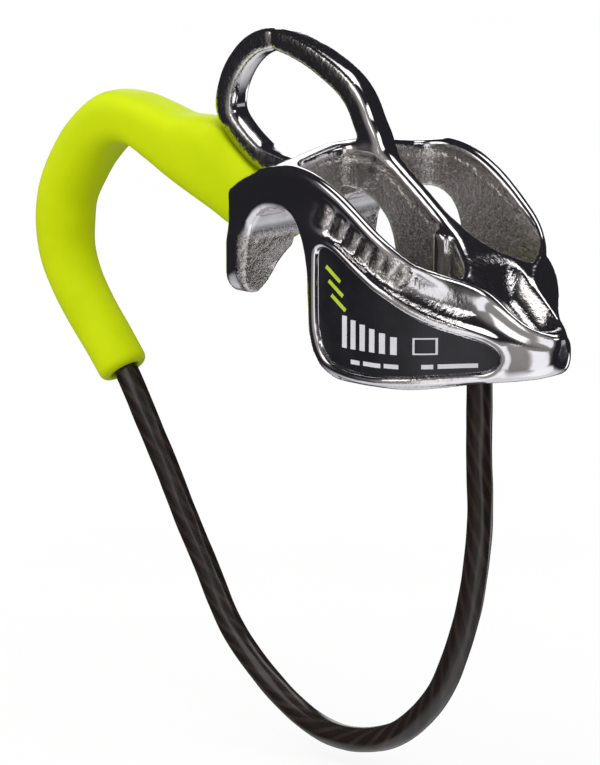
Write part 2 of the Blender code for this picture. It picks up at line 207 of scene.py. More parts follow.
LABEL_HIGH = [
    (11.1, 18.2), (11.6, 19.2), (12.5, 19.6), (14.4, 19.0), (15.8, 18.2), (18.3, 16.6), (20.6, 15.0),
    (23.1, 13.5), (26.8, 11.0), (30.3, 9.0), (32.4, 7.9), (33.7, 6.9), (34.2, 6.0),
]
LABEL_DEPTH = 0.8
NOSE_BORE_X = 25.3
NOSE_BORE_TOP = 13.6
REAR_Z = 18.0
BORE_R = 2.15
PADS = [(12.0, 23.5), (14.4, 22.2), (16.6, 20.8), (18.6, 19.5), (20.5, 18.4), (22.2, 17.5), (23.7, 16.5)]


def wall(x):
    return lookup(x, SIDE_Y)


def label_outline():
    points = LABEL_LOW + LABEL_HIGH[::-1]
    return [(p[0], p[1]) for p in spline(points, 3, ring=True)]


def web_arch_outline():
    """Inverted U through the middle web, open below."""
    points = [(ARCH_X - 6.0, -9.0), (ARCH_X - WEB_ARCH_R, 12.0)]
    steps = 24
    for i in range(steps + 1):
        w = math.pi * (1 - i / steps)
        z = WEB_ARCH_TOP - WEB_ARCH_R + WEB_ARCH_R * math.sin(w)
        points.append((ARCH_X + WEB_ARCH_R * math.cos(w), z))
    foot = ARCH_X + WEB_ARCH_R + 0.6
    points += [(foot, 6.5), (foot + 1.1, 3.2), (foot + 2.2, 2.0), (foot + 3.6, 1.0), (foot + 4.4, -9.0)]
    return points


def hull_field(x, y, z):
    """Outside of the casting before anything is cut from it."""
    side = wall(x)
    rim = lookup(x, RIM_Y)
    top = lookup(x, RIM_Z)
    middle = lookup(x, MIDDLE_Z)
    shoulder = lookup(x, SHOULDER_Z)
    low = lookup(x, UNDERSIDE)
    edge = lookup(x, LOW_EDGE)
    pinch = (0.4 + 1.6 * ramp(x, 9.0, 15.0)) * ramp(x, 32.0, 27.0)
    bead = np.minimum(1.9, 0.35 * rim)
    a = (side, shoulder)
    b = (np.minimum(side, rim) - pinch, shoulder + 0.3 * (top - 1.0 - shoulder))
    c = (rim, top - 1.0)
    band = []
    for t in (0.25, 0.5, 0.75):
        band.append(tuple((1 - t) ** 2 * p + 2 * t * (1 - t) * q + t * t * r for p, q, r in zip(a, b, c)))
    far = np.full_like(side, -9.0)
    corners = [
        (far, low),
        (np.maximum(side - edge, 0.8), low),
        (np.maximum(side - 0.3 * edge, 0.9), low + 0.3 * edge),
        (side, low + edge),
        a,
        *band,
        c,
        (rim - 0.15, top - 0.4),
        (rim - 0.3 * bead, top),
        (rim - 0.65 * bead, top),
        (rim - bead, top - 0.25),
        (np.minimum(3.4, 0.4 * rim), middle),
        (far, middle),
    ]
    field = outline_distance(y, z, corners)
    return soft_max(soft_max(field, REAR_END - x, 0.5), x - NOSE_END, 1.0)


def body_grid():
    """(field, cast, origin): the casting as a signed field on a grid, and how rough each place is."""
    origin = np.array([-24.0, -19.0, 0.0])
    last = np.array([42.0, 19.0, 46.6])
    count = ((last - origin) / STEP).astype(int) + 1
    x = (origin[0] + STEP * np.arange(count[0])).reshape(-1, 1, 1)
    y = np.abs(origin[1] + STEP * np.arange(count[1])).reshape(1, -1, 1)
    z = (origin[2] + STEP * np.arange(count[2])).reshape(1, 1, -1)

    field = hull_field(x, y, z)
    casting = field
    middle = lookup(x, MIDDLE_Z)
    rim = lookup(x, RIM_Y)
    top = middle + (lookup(x, RIM_Z) - middle) * ramp(y, 3.4, rim - 1.9)
    depth = top - z

    # Rope slots: rounded lip, undercut below the bead, and an outer wall that leans in lower down.
    slot = outline_distance(x, y, [tuple(p) for p in spline(SLOT, 3, ring=True)])
    lip = 0.8
    inside = np.clip(depth, 0.0, lip)
    mouth = lip - np.sqrt(np.maximum(lip * lip - (lip - inside) ** 2, 0.0))
    under = 0.3 * ramp(depth, 1.2, 1.6) * ramp(depth, 2.4, 2.0)
    lean = 1.3 * ramp(z, 11.0, 3.0) * ramp(y, 7.0, 12.0)
    slot = slot + 0.4 - mouth - under + lean
    field = np.maximum(field, -slot)

    # Thumb eye.
    path = spline(EYE, 3, ring=True)
    flat_x, flat_z = x[:, :, 0], z[0]
    loop = np.abs(outline_distance(flat_x, flat_z, [tuple(p) for p in path]))[:, None, :]
    half = 1.7 + 0.15 * np.clip((x + 6) / 10, 0.0, 1.0)
    power = 4.5
    eye = ((np.abs(loop) / half) ** power + (y / EYE_HALF) ** power) ** (1 / power) - 1
    eye = eye * half
    seam = 0.3 * np.exp(-(((x + 11.9) / 0.45) ** 2)) * ramp(z, 36.0, 38.0)
    field = soft_min(field, eye + seam, 1.2)

    boss = outline_distance(flat_x, flat_z, [(18.9, 4.0), (18.9, 20.6), (21.3, 20.6), (21.3, 4.0)])
    boss = np.maximum(np.maximum(boss[:, None, :], y - 2.9), casting + 0.8)
    field = np.minimum(field, boss)

    # Carabiner arch through the walls, with a bevelled outer edge, and a wider one through the web.
    arch = outline_distance(flat_x, flat_z, ARCH)[:, None, :]
    bevel = 1.35 * ramp(x, 9.2, 5.0) * ramp(z, 2.0, 6.0)
    side = wall(x)
    arch = arch - np.clip(y - (side - bevel), 0.0, None)
    field = soft_max(field, -arch, 0.2)
    web_arch = outline_distance(flat_x, flat_z, web_arch_outline())
    web_arch = np.maximum(web_arch[:, None, :], y - 3.4)
    field = np.maximum(field, -web_arch)

    flat_y = y[0]
    tongue = outline_distance(flat_y, flat_z, TONGUE)[None, :, :]
    field = np.maximum(field, -np.maximum(tongue, x - REAR_INNER))

    # Inner face of the rear wall is hollowed between the side walls.
    hollow = 2.0 * ramp(z, 17.0, 12.5) * (1 - (y / 11.6) ** 2)
    hollow = np.maximum(REAR_INNER - hollow - x, y - 11.6)
    hollow = np.maximum(hollow, np.maximum(x + 4.0, z - 17.5))
    field = soft_max(field, -hollow, 0.4)

    # Spoon shaped dish on top of the nose.
    wide = lookup(x, [(27, 3.6), (29, 4.2), (31.7, 4.0), (33.9, 3.7), (36.3, 3.2), (38.3, 2.0)])
    deep = 3.2 * ramp(x, 27.0, 30.2) * ramp(x, 38.6, 34.6)
    crest = lookup(x, MIDDLE_Z)
    dish = crest + 0.3 - (deep + 0.3) * (1 - (y / wide) ** 2.4) - z
    dish = np.maximum(dish * 0.8, 26.0 - x)
    field = soft_max(field, -dish, 0.5)

    # Label recess with a raised border.
    label = outline_distance(flat_x, flat_z, label_outline())[:, None, :]
    border = np.sqrt((label - 0.6) ** 2 + (y - side + 0.15) ** 2) - 0.6
    field = soft_min(field, border, 0.3)
    field = np.maximum(field, -np.maximum(label, side - LABEL_DEPTH - y))

    # Seven plain grip pads along the band above the label.
    probe = np.linspace(10.0, 19.0, 181)
    on_pads = np.zeros_like(field)
    for i, (px, pz) in enumerate(PADS):
        inside = hull_field(np.full_like(probe, px), probe, np.full_like(probe, pz)) < 0
        centre = np.array([px, probe[np.nonzero(inside)[0][-1]], pz])
        ahead = PADS[min(i + 1, 6)]
        behind = PADS[max(i - 1, 0)]
        along = np.array([ahead[0] - behind[0], 0.0, ahead[1] - behind[1]])
        along /= np.linalg.norm(along)
        near, far = [
            [hull_field(*[np.array([centre[k] + (k == axis) * d]) for k in range(3)])[0] for axis in range(3)]
            for d in (0.4, -0.4)
        ]
        out = np.array(near) - np.array(far)
        out -= out @ along * along
        out /= np.linalg.norm(out)
        across = np.cross(along, out)
        gap = 0
        for axis, half in ((along, 0.5), (across, 1.05), (out, 0.4)):
            q = (x - centre[0]) * axis[0] + (y - centre[1]) * axis[1] + (z - centre[2]) * axis[2]
            gap = gap + np.maximum(np.abs(q) - half, 0.0) ** 2
        pad = np.sqrt(gap) - 0.25
        on_pads = np.maximum(on_pads, ramp(pad, 0.35, 0.05))
        field = soft_min(field, pad, 0.1)

    bore = np.maximum(np.sqrt((x - NOSE_BORE_X) ** 2 + y * y) - BORE_R, z - NOSE_BORE_TOP)
    field = np.maximum(field, -bore)
    rear = np.maximum(np.sqrt((z - REAR_Z) ** 2 + y * y) - BORE_R, x + 3.0)
    field = np.maximum(field, -rear)
    field = field.astype(np.float32)

    # Cast skin where the polishing wheel does not reach.
    in_slot = ramp(np.abs(slot), 0.5, 0.1) * ramp(depth, 0.9, 1.8)
    in_arch = ramp(np.abs(web_arch), 0.5, 0.1)
    in_dish = 0.22 * ramp(np.abs(dish), 0.5, 0.1)
    on_eye = 0.4 * ramp(y, 0.75 * EYE_HALF, 0.95 * EYE_HALF) * ramp(eye, 1.0, 0.2)
    on_eye = on_eye * ramp(x + 0 * y, 4.5, 2.5)
    in_rear = ramp(x, -4.4, -5.2) * ramp(z, 20.0, 16.0) * ramp(x, -7.5, -6.5)
    band = 0.2 * ramp(x, 21.5, 24.0) * ramp(x, 31.5, 29.5) * ramp(y, 7.0, 9.0) * ramp(depth, 1.4, 2.6)
    places = [in_slot, in_arch, in_dish, on_eye, band, 0.7 * on_pads, in_rear + 0 * y]
    cast = np.maximum.reduce(places).astype(np.float32)
    coarse = value_noise(field.shape, 1.6 / STEP, 3)
    fine = value_noise(field.shape, 0.75 / STEP, 4)
    field += cast * (0.045 * coarse + 0.05 * fine) + 0.012 * coarse
    for axis in range(3):
        cut = [slice(None)] * 3
        parts = []
        for part in (slice(0, -2), slice(1, -1), slice(2, None)):
            cut[axis] = part
            parts.append(tuple(cut))
        low, mid, high = parts
        field[mid] = 0.5 * field[mid] + 0.25 * (field[low] + field[high])
    return field, cast, origin


def sample(data, at):
    """Trilinear value of a grid at points given in grid steps."""
    size = np.array(data.shape) - 2
    low = np.clip(np.floor(at).astype(int), 0, size)
    t = at - low
    total = 0.0
    for corner in range(8):
        o = [(corner >> k) & 1 for k in range(3)]
        weight = 1.0
        for k in range(3):
            weight = weight * (t[:, k] if o[k] else 1 - t[:, k])
        total = total + weight * data[low[:, 0] + o[0], low[:, 1] + o[1], low[:, 2] + o[2]]
    return total


def surface_net(field):
    """(points in grid steps, quads) of the zero surface: one point per crossed cell."""
    sign = field < 0
    a, b, c = [s - 1 for s in field.shape]
    total = np.zeros((a, b, c), np.int8)
    for i in (0, 1):
        for j in (0, 1):
            for k in (0, 1):
                total += sign[i : i + a, j : j + b, k : k + c]
    cells = np.argwhere((total > 0) & (total < 8))
    index = np.full((a, b, c), -1, np.int32)
    index[tuple(cells.T)] = np.arange(len(cells))
    points = np.zeros((len(cells), 3))
    hits = np.zeros(len(cells))
    for axis in range(3):
        others = [k for k in range(3) if k != axis]
        for i in (0, 1):
            for j in (0, 1):
                start = cells.copy()
                start[:, others[0]] += i
                start[:, others[1]] += j
                end = start.copy()
                end[:, axis] += 1
                fa = field[tuple(start.T)]
                fb = field[tuple(end.T)]
                cross = (fa < 0) != (fb < 0)
                t = np.where(cross, fa / np.where(cross, fa - fb, 1.0), 0.0)
                at = start.astype(float)
                at[:, axis] += t
                points += np.where(cross[:, None], at, 0.0)
                hits += cross
    points /= hits[:, None]
    quads = []
    for axis in range(3):
        u, v = (axis + 1) % 3, (axis + 2) % 3
        low = [slice(None)] * 3
        high = [slice(None)] * 3
        low[axis] = slice(0, -1)
        high[axis] = slice(1, None)
        first = sign[tuple(low)]
        second = sign[tuple(high)]
        for out_first in (True, False):
            edges = np.argwhere((first != second) & (first == out_first))
            edges = edges[(edges[:, u] > 0) & (edges[:, v] > 0)]
            edges = edges[(edges[:, u] < field.shape[u] - 1) & (edges[:, v] < field.shape[v] - 1)]
            ring = []
            for du, dv in ((-1, -1), (0, -1), (0, 0), (-1, 0)):
                cell = edges.copy()
                cell[:, u] += du
                cell[:, v] += dv
                ring.append(index[tuple(cell.T)])
            quad = np.stack(ring, 1)
            quads.append(quad if out_first else quad[:, ::-1])
    return points, np.concatenate(quads)


def raw_mesh(name, points, quads):
    """Mesh object straight from arrays of row frame points and quads."""
    mesh = bpy.data.meshes.new(name)
    mesh.vertices.add(len(points))
    mesh.vertices.foreach_set("co", np.asarray(points, np.float32).ravel())
    mesh.loops.add(quads.size)
    mesh.loops.foreach_set("vertex_index", quads.astype(np.int32).ravel())
    mesh.polygons.add(len(quads))
    mesh.polygons.foreach_set("loop_start", np.arange(0, quads.size, 4, dtype=np.int32))
    mesh.polygons.foreach_set("use_smooth", np.ones(len(quads), bool))
    mesh.update(calc_edges=True)
    mesh.validate()
    obj = bpy.data.objects.new(name, mesh)
    bpy.context.scene.collection.objects.link(obj)
    return obj


def build_body():
    field, cast, origin = body_grid()
    points, quads = surface_net(field)
    slopes = [g.astype(np.float32) for g in np.gradient(field)]
    for _ in range(2):
        value = sample(field, points)
        normal = np.stack([sample(g, points) for g in slopes], 1)
        length = np.maximum((normal**2).sum(1), 0.02)
        move = -value[:, None] * normal / length[:, None]
        points += np.clip(move, -0.35, 0.35)
    normal = np.stack([sample(g, points) for g in slopes], 1)
    normal /= np.maximum(np.linalg.norm(normal, axis=1), 1e-6)[:, None]
    rough = sample(cast, points)
    place = origin + STEP * points
    obj = raw_mesh("body_casting", to_row(place), quads)
    obj.data.normals_split_custom_set_from_vertices(normal.tolist())
    layer = obj.data.attributes.new("cast", "FLOAT", "POINT")
    layer.data.foreach_set("value", rough.astype(np.float32))
    print("body", len(points), "points", len(quads), "quads")
    return obj


body = build_body()
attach(body, "device_body")
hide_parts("body")

# ------------------------------------------------------------------ cable loop

CABLE = [
    (25.3, 3.4), (25.3, 1.0), (25.3, -1.6), (25.4, -9.5), (25.5, -22.3), (23.3, -34.2), (18.7, -45.4),
    (11.2, -53.2), (1.6, -56.3), (-8.2, -54.5), (-20.3, -46.1), (-28.4, -33.9), (-36.6, -20.1),
    (-43.4, -9.3), (-50.6, -0.7), (-55.2, 7.4), (-55.4, 16.4), (-50.4, 24.6), (-43.4, 28.3),
    (-35.2, 27.2), (-27.2, 24.0), (-19.4, 20.3), (-14.6, 18.7), (-10.6, 18.0),
]
# Centre x and z, direction of the outer side in degrees, half height, half width, squareness.
SLEEVE = [
    (-44.5, -8.1, 218, 3.8, 3.7, 2.0), (-47.3, -4.8, 218, 3.85, 3.7, 2.0), (-50.9, -0.8, 216, 4.0, 3.7, 2.0),
    (-53.9, 3.3, 210, 4.2, 3.8, 2.0), (-55.8, 7.5, 197, 4.6, 3.9, 2.0), (-56.2, 12.1, 181, 4.8, 4.0, 2.1),
    (-55.5, 16.5, 165, 4.8, 4.0, 2.1), (-53.2, 20.8, 148, 4.7, 4.1, 2.2), (-49.9, 25.0, 128, 4.5, 4.2, 2.4),
    (-45.2, 28.6, 104, 4.2, 4.4, 2.8), (-40.4, 29.2, 93, 3.8, 4.5, 3.2), (-36.0, 28.0, 90, 4.1, 4.6, 3.5),
    (-31.0, 26.2, 90, 4.8, 4.6, 3.5), (-26.5, 25.2, 90, 5.9, 4.5, 3.3), (-22.5, 24.0, 90, 6.5, 4.5, 3.0),
    (-19.3, 22.0, 90, 5.9, 4.4, 3.0), (-15.5, 20.3, 90, 4.9, 4.3, 2.8), (-10.25, 18.9, 90, 3.8, 4.0, 2.6),
]
STRANDS = 6
STRAND_LAY = 0.6


def loft(name, rings):
    """Closed smooth solid through rings that all have the same number of points."""
    n = len(rings[0])
    verts = [tuple(to_row(p)) for ring in rings for p in ring]
    faces = []
    for i in range(len(rings) - 1):
        for k in range(n):
            m = (k + 1) % n
            faces.append((i * n + k, i * n + m, (i + 1) * n + m, (i + 1) * n + k))
    for i, first in ((0, True), (len(rings) - 1, False)):
        centre = np.mean([verts[i * n + k] for k in range(n)], axis=0)
        verts.append(tuple(centre))
        for k in range(n):
            a, b = i * n + k, i * n + (k + 1) % n
            faces.append((len(verts) - 1, b, a) if first else (len(verts) - 1, a, b))
    mesh = bpy.data.meshes.new(name)
    mesh.from_pydata(verts, [], faces)
    bm = bmesh.new()
    bm.from_mesh(mesh)
    bmesh.ops.recalc_face_normals(bm, faces=bm.faces)
    bm.to_mesh(mesh)
    bm.free()
    mesh.polygons.foreach_set("use_smooth", [True] * len(mesh.polygons))
    obj = bpy.data.objects.new(name, mesh)
    bpy.context.scene.collection.objects.link(obj)
    return obj


def tube_rings(path, radius, sides):
    """Rings round a path in the XZ plane. radius(distance along, angle) gives the skin."""
    rings = []
    along = 0.0
    for i, p in enumerate(path):
        ahead = path[min(i + 1, len(path) - 1)] - path[max(i - 1, 0)]
        ahead = ahead / np.linalg.norm(ahead)
        if i:
            along += np.linalg.norm(p - path[i - 1])
        out = np.array([-ahead[2], 0.0, ahead[0]])
        ring = []
        for k in range(sides):
            w = 2 * math.pi * k / sides
            r = radius(along, w)
            ring.append(p + r * math.cos(w) * out + r * math.sin(w) * np.array([0.0, 1.0, 0.0]))
        rings.append(ring)
    return rings


def build_jacket():
    path = spline([(x, 0, z) for x, z in CABLE], 24)

    def skin(along, w):
        """Faint ridges, with a slow unevenness over them."""
        strand = math.sin(5 * w - along / 2.6)
        return 1.8 + 0.035 * strand + 0.02 * math.sin(along * 0.9 + 2 * w) * math.sin(along * 0.23)

    sides = 30
    obj = loft("cable_jacket_skin", tube_rings(path, skin, sides))
    glow = []
    along = 0.0
    for i, p in enumerate(path):
        if i:
            along += np.linalg.norm(p - path[i - 1])
        for k in range(sides):
            turn = 2 * math.pi * k / sides
            glow.append(0.5 + 0.5 * math.sin(STRANDS * turn - along / STRAND_LAY))
    layer = obj.data.attributes.new("strand", "FLOAT", "POINT")
    layer.data.foreach_set("value", glow + [0.0, 0.0])
    return obj


def build_wire():
    path = spline([(x, 0, z) for x, z in CABLE[2:]], 10)

    def strands(along, w):
        return 0.95 + 0.2 * abs(math.cos(3 * w - along / 4.0))

    return loft("wire_rope_strands", tube_rings(path, strands, 24))


def build_sleeve():
    sides = 44
    rings = []
    stations = spline(SLEEVE, 5)
    for i, (x, z, turn, tall, wide, square) in enumerate(stations):
        w = math.radians(turn)
        out = np.array([math.cos(w), 0.0, math.sin(w)])
        saddle = ramp(x, -24.5, -21.5) * ramp(x, -12.5, -15.0)
        ring = []
        for k in range(sides):
            v = 2 * math.pi * k / sides
            c, s = math.cos(v), math.sin(v)
            c = math.copysign(abs(c) ** (2 / square), c)
            s = math.copysign(abs(s) ** (2 / square), s)
            lip = 1.0 * saddle * math.exp(-(((abs(s) * wide - 3.2) / 0.9) ** 2)) if c > 0 else 0.0
            groove = 0.5 * saddle * math.exp(-((s * wide / 2.2) ** 4)) if c > 0 else 0.0
            point = np.array([x, 0, z]) + (tall * c + lip - groove) * out
            ring.append(point + wide * s * np.array([0.0, 1.0, 0.0]))
        rings.append(ring)
    # Rounded mouth round the cable at the lower end.
    x, z, turn, tall, wide, square = SLEEVE[0]
    w = math.radians(turn)
    out = np.array([math.cos(w), 0.0, math.sin(w)])
    back = np.array([math.sin(w), 0.0, -math.cos(w)])
    back = back * (1 if back[2] < 0 else -1)
    mouth = []
    steps = ((0.35, 0.04), (0.75, 0.2), (1.05, 0.5), (1.2, 0.95), (1.15, 1.45), (0.7, 1.68), (-3.0, 1.75))
    for depth, inset in steps:
        ring = []
        for k in range(sides):
            v = 2 * math.pi * k / sides
            point = np.array([x, 0, z]) + depth * back + (tall - inset) * math.cos(v) * out
            ring.append(point + (wide - inset) * math.sin(v) * np.array([0.0, 1.0, 0.0]))
        mouth.append(ring)
    rings = mouth[::-1] + rings
    # Rounded edge where it meets the rear wall.
    last = rings[-1]
    middle = np.mean(last, axis=0)
    rings[-1] = [p + np.array([-0.5, 0, 0]) for p in last]
    rings.append([middle + (p - middle) * 0.93 for p in last])
    return loft("sleeve_grip", rings)


def build_badge():
    """Blank oval button on the outside of the bend."""
    centre = np.array([-47.6, 0.0, 31.75])
    w = math.radians(118)
    out = np.array([math.cos(w), 0.0, math.sin(w)])
    along = np.array([-out[2], 0.0, out[0]])
    rings = []
    for lift, size in ((-1.2, 1.0), (0.15, 1.0), (0.3, 0.94), (0.3, 0.84), (0.2, 0.8), (0.25, 0.3)):
        ring = []
        for k in range(36):
            v = 2 * math.pi * k / 36
            bend = -0.5 * math.cos(v) ** 2 * size**2
            side = -0.75 * math.sin(v) ** 2 * size**2
            point = centre + 2.9 * size * math.cos(v) * along + (lift + bend + side) * out
            ring.append(point + 2.3 * size * math.sin(v) * np.array([0.0, 1.0, 0.0]))
        rings.append(ring)
    return loft("sleeve_badge", rings)


jacket = build_jacket()
wire = build_wire()
sleeve = build_sleeve()
badge = build_badge()
for piece in (jacket, wire, sleeve, badge):
    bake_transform(piece)
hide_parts("cable_jacket", "jacket_nose_end")
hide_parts("wire_rope")
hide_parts("sleeve")

# ------------------------------------------------------------------ labels

LABEL_SUNK = 0.5


def label_point(x, z, side, lift=0.0):
    return to_row((x, side * (float(wall(np.array(x))) - LABEL_SUNK + lift), z))


def film(name, outlines, side, low, high):
    """Thin closed film that follows the wall: outlines of (x, z) points, between two heights."""
    bm = bmesh.new()
    for outline in outlines:
        verts = [bm.verts.new((x, 0.0, z)) for x, z in outline]
        bm.faces.new(verts)
    bmesh.ops.triangulate(bm, faces=bm.faces)
    for i in range(48):
        geom = bm.verts[:] + bm.edges[:] + bm.faces[:]
        bmesh.ops.bisect_plane(bm, geom=geom, plane_co=(11.0 + 0.5 * i, 0, 0), plane_no=(1, 0, 0))
    top = list(bm.faces)
    made = bmesh.ops.extrude_face_region(bm, geom=top)
    raised = {v for v in made["geom"] if isinstance(v, bmesh.types.BMVert)}
    for v in bm.verts:
        v.co = Vector(label_point(v.co.x, v.co.z, side, high if v in raised else low))
    bmesh.ops.recalc_face_normals(bm, faces=bm.faces)
    mesh = bpy.data.meshes.new(name)
    bm.to_mesh(mesh)
    bm.free()
    obj = bpy.data.objects.new(name, mesh)
    bpy.context.scene.collection.objects.link(obj)
    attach(obj, "device_body")
    return obj


def stripe(points, width, end=None):
    """Outline of a stroke through the points; its width may run to another at the end."""
    end = width if end is None else end
    path = [np.array(p, float) for p in spline([(*p, 0) for p in points], 6)]
    left, right = [], []
    for i, p in enumerate(path):
        ahead = path[min(i + 1, len(path) - 1)] - path[max(i - 1, 0)]
        ahead = ahead / np.linalg.norm(ahead)
        half = 0.5 * (width + (end - width) * i / (len(path) - 1))
        left.append((p[0] - ahead[1] * half, p[1] + ahead[0] * half))
        right.append((p[0] + ahead[1] * half, p[1] - ahead[0] * half))
    return left + right[::-1]


def block(x0, z0, x1, z1):
    return [(x0, z0), (x1, z0), (x1, z1), (x0, z1)]


def lime_art():
    """Three plain slanted bars, one below the other."""
    out = []
    for k in range(3):
        x, z = 12.6 + 0.5 * k, 16.9 - 1.9 * k
        out.append(stripe([(x, z), (x + 1.3, z - 0.9), (x + 2.6, z - 1.8)], 0.55, 0.55))
    return out


def white_art():
    """Six plain upright bars that get shorter, an empty frame, and a row of blank bars."""
    out = []
    for k in range(6):
        x = 15.6 + 1.55 * k
        out.append(block(x, 6.2, x + 0.85, 10.6 - 0.4 * k))
    frame_x, frame_z = (26.0, 28.4), (6.3, 8.6)
    line = 0.2
    out.append(block(frame_x[0], frame_z[0], frame_x[1], frame_z[0] + line))
    out.append(block(frame_x[0], frame_z[1] - line, frame_x[1], frame_z[1]))
    for x in (frame_x[0], frame_x[1] - line):
        out.append(block(x, frame_z[0] + line, x + line, frame_z[1] - line))
    for x0, x1 in ((17.2, 18.7), (19.3, 22.0), (22.5, 24.4), (26.9, 28.0), (28.4, 31.9)):
        out.append(block(x0, 4.15 + 0.02 * (x0 - 17), x1, 4.75 + 0.02 * (x0 - 17)))
    return out


art = []
for word, side in (("right", -1), ("left", 1)):
    outline = [(x, z) for x, z in label_outline()]
    plate = film("label_plate_" + word, [outline], side, -0.25, 0.0)
    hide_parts("label_" + word)
    lime = film("label_lime_" + word, lime_art(), side, -0.02, 0.05)
    white = film("label_white_" + word, white_art(), side, -0.02, 0.05)
    art.append((plate, lime, white))


# ------------------------------------------------------------------ camera, floor and light

camera = bpy.data.objects.new("camera", bpy.data.cameras.new("camera"))
bpy.context.scene.collection.objects.link(camera)
right = Vector((0.73135, 0.68200, 0.0))
up = Vector((-0.15342, 0.16452, 0.97437))
back = Vector((0.66452, -0.71261, 0.22495))
matrix = Matrix((right, up, back)).transposed().to_4x4()
matrix.translation = Vector((0.34170, -0.39667, 0.11869))
camera.matrix_world = matrix
camera.data.lens = 183.76
camera.data.clip_start = 0.01
bpy.context.scene.camera = camera
bpy.context.scene.view_settings.view_transform = "Standard"


class Graph:
    """Short way to write a node tree."""

    def __init__(self, tree):
        self.tree = tree
        self.tree.nodes.clear()

    def add(self, kind, *links, **settings):
        """New node. Positional links are (input, value or socket) pairs; settings are properties."""
        node = self.tree.nodes.new(kind)
        for key, value in settings.items():
            setattr(node, key, value)
        for name, value in links:
            socket = node.inputs[name]
            if isinstance(value, bpy.types.NodeSocket):
                self.tree.links.new(value, socket)
            else:
                socket.default_value = value
        return node

    def math(self, operation, a, b=0.0, clamp=False):
        node = self.add("ShaderNodeMath", (0, a), (1, b), operation=operation, use_clamp=clamp)
        return node.outputs[0]

    def range(self, value, lo, hi, out_lo=0.0, out_hi=1.0, kind="SMOOTHSTEP"):
        node = self.add(
            "ShaderNodeMapRange",
            ("Value", value),
            ("From Min", lo),
            ("From Max", hi),
            ("To Min", out_lo),
            ("To Max", out_hi),
            interpolation_type=kind,
        )
        return node.outputs[0]

    def mix(self, factor, a, b):
        node = self.add(
            "ShaderNodeMix", ("Factor", factor), (6, a), (7, b), data_type="RGBA", clamp_factor=True
        )
        return node.outputs[2]


def rgb(r, g, b):
    return (r, g, b, 1.0)


def direction(azimuth, elevation):
    a, e = math.radians(azimuth), math.radians(elevation)
    return Vector((math.cos(e) * math.cos(a), math.cos(e) * math.sin(a), math.sin(e)))


# Softboxes seen in the polished metal: azimuth from +X toward +Y, elevation, half width, half height
# in degrees, edge softness, brightness, tint.
PANELS = [
    (-78, 42, 20, 20, 0.08, 1.7, (1.0, 0.985, 0.96)),
    (-33, -6, 13, 28, 0.10, 1.15, (0.98, 0.98, 1.0)),
    (76, 61, 14, 12, 0.06, 2.4, (1.0, 0.99, 0.97)),
    (12, 32, 17, 6, 0.04, 2.2, (1.0, 1.0, 1.0)),
    (80, -20, 9, 8, 0.05, 1.6, (1.0, 1.0, 1.0)),
    (130, 14, 9, 13, 0.05, 1.9, (0.97, 0.98, 1.0)),
    (-15, -52, 18, 22, 0.12, 1.2, (1.0, 1.0, 1.0)),
    (52, -2, 10, 7, 0.06, 0.5, (0.95, 0.97, 1.0)),
]
# Direction the soft light mostly comes from: high on the left of the camera.
LAMP = tuple(Vector((-0.33, -0.78, 0.72)).normalized())


def build_world():
    world = bpy.data.worlds.new("studio")
    bpy.context.scene.world = world
    world.use_nodes = True
    g = Graph(world.node_tree)
    look = g.add("ShaderNodeNewGeometry").outputs["Incoming"]
    flip = g.add("ShaderNodeVectorMath", (0, look), (1, (-1, -1, -1)), operation="MULTIPLY").outputs[0]
    height = g.add("ShaderNodeSeparateXYZ", (0, flip)).outputs[2]
    floor = g.range(height, -0.86, -0.42, 1.0, 0.0)
    room = direction(-62, 12)
    open_side = g.add(
        "ShaderNodeVectorMath", (0, flip), (1, tuple(room)), operation="DOT_PRODUCT"
    ).outputs["Value"]
    dark = g.mix(g.range(open_side, 0.40, 0.95), rgb(0.020, 0.019, 0.023), rgb(0.34, 0.32, 0.31))
    colour = g.mix(floor, dark, rgb(0.90, 0.90, 0.93))
    for azimuth, elevation, wide, tall, soft, power, tint in PANELS:
        centre = direction(azimuth, elevation)
        across = Vector((-centre.y, centre.x, 0)).normalized()
        over = centre.cross(across)

        def dot(axis):
            return g.add(
                "ShaderNodeVectorMath", (0, flip), (1, tuple(axis)), operation="DOT_PRODUCT"
            ).outputs["Value"]

        ahead = g.math("MAXIMUM", dot(centre), 0.001)
        mask = g.range(dot(centre), 0.0, 0.05)
        for axis, reach in ((across, math.tan(math.radians(wide))), (over, math.tan(math.radians(tall)))):
            share = g.math("DIVIDE", g.math("ABSOLUTE", dot(axis)), ahead)
            mask = g.math("MULTIPLY", mask, g.range(share, reach + soft, reach - soft))
        colour = g.mix(mask, colour, rgb(*[power * t for t in tint]))
    path = g.add("ShaderNodeLightPath")
    glossy = path.outputs["Is Glossy Ray"]
    seen = path.outputs["Is Camera Ray"]
    lamp = g.add("ShaderNodeVectorMath", (0, flip), (1, LAMP), operation="DOT_PRODUCT").outputs["Value"]
    soft_light = g.mix(g.range(lamp, -0.7, 1.0), rgb(0.42, 0.42, 0.43), rgb(1.42, 1.41, 1.40))
    colour = g.mix(glossy, soft_light, colour)
    colour = g.mix(seen, colour, rgb(1, 1, 1))
    shader = g.add("ShaderNodeBackground", ("Color", colour), ("Strength", 1.0))
    g.add("ShaderNodeOutputWorld", ("Surface", shader.outputs[0]))


